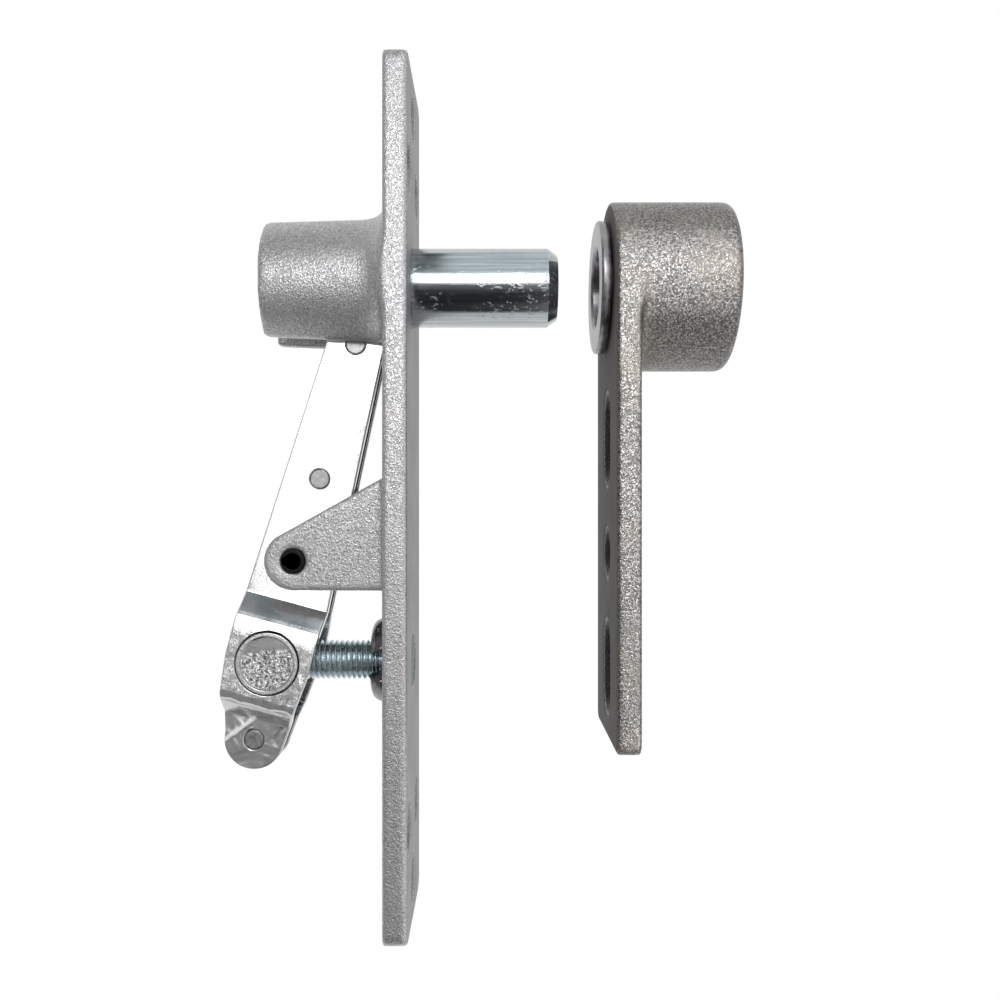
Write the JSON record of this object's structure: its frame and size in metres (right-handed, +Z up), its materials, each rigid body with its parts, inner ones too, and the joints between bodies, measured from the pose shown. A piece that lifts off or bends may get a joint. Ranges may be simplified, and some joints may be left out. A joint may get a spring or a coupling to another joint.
{
  "type": "pivot hinge",
  "caption": "Retractable top pivot for a swing door: frame leaf with pin, rocking beam and adjusting screw, and door leaf with flanged bushing.",
  "frame": {"origin": "pivot axis where it crosses the frame leaf's face", "axes": "+Z up along the pivot axis, from the door leaf towards the frame leaf as fitted; +X along the leaves, from the rocking beam's tail towards the pivot pin; +Y across the leaves"},
  "size_m": [0.171, 0.0338, 0.1016],
  "materials": {
    "frame_casting": "blasted casting, machined face",
    "door_casting": "rough blasted casting, ground face",
    "pin_steel": "ground steel",
    "zinc_plate": "bright zinc plated stampings",
    "blued_steel": "dark polished steel",
    "screw_zinc": "blue zinc plated"
  },
  "bodies": {
    "frame_leaf": {"frame_casting": "frame_casting", "fulcrum_pin": "blued_steel"},
    "screw": {"adjusting_screw": "screw_zinc", "screw_retaining_ring": "blued_steel"},
    "beam": {"beam_plate_near": "zinc_plate", "beam_plate_far": "zinc_plate", "beam_rivet_top": "zinc_plate", "beam_rivet_middle": "zinc_plate", "beam_rivet_tail": "zinc_plate"},
    "nut": {"trunnion_nut": "zinc_plate"},
    "pin": {"pivot_pin": "pin_steel", "pin_cross_pin": "zinc_plate"},
    "bushing": {"door_bushing": "blued_steel"},
    "door_leaf": {"door_casting": "door_casting"}
  },
  "joints": [
    {"name": "screw_turn", "type": "hinge", "parent": "frame_leaf", "child": "screw", "pos_m": [-0.07604, 0, 0], "axis": [0, 0, 1], "range_deg": [-12, 3712]},
    {"name": "beam_swing", "type": "hinge", "parent": "frame_leaf", "child": "beam", "pos_m": [-0.0554, 0, 0.0229], "axis": [0, -1, 0], "range_deg": [-0.1, 30.1]},
    {"name": "nut_swivel", "type": "hinge", "parent": "beam", "child": "nut", "pos_m": [-0.07568, 0, 0.02834], "axis": [0, -1, 0], "range_deg": [-30.1, 0.1]},
    {"name": "pin_slide", "type": "slide", "parent": "frame_leaf", "child": "pin", "axis": [0, 0, 1], "range_m": [0, 0.02969]},
    {"name": "door_lift", "type": "slide", "parent": "frame_leaf", "child": "bushing", "axis": [0, 0, 1], "range_m": [0, 0.0364]},
    {"name": "door_swing", "type": "hinge", "parent": "bushing", "child": "door_leaf", "pos_m": [0, 0, -0.0396], "axis": [0, 0, 1], "continuous": true}
  ],
  "couplings": [
    {"joint": "beam_swing", "follows": "pin_slide", "rad_per_m": 17.636},
    {"joint": "nut_swivel", "follows": "pin_slide", "rad_per_m": -17.636},
    {"joint": "screw_turn", "follows": "pin_slide", "rad_per_m": 2174.5}
  ]
}
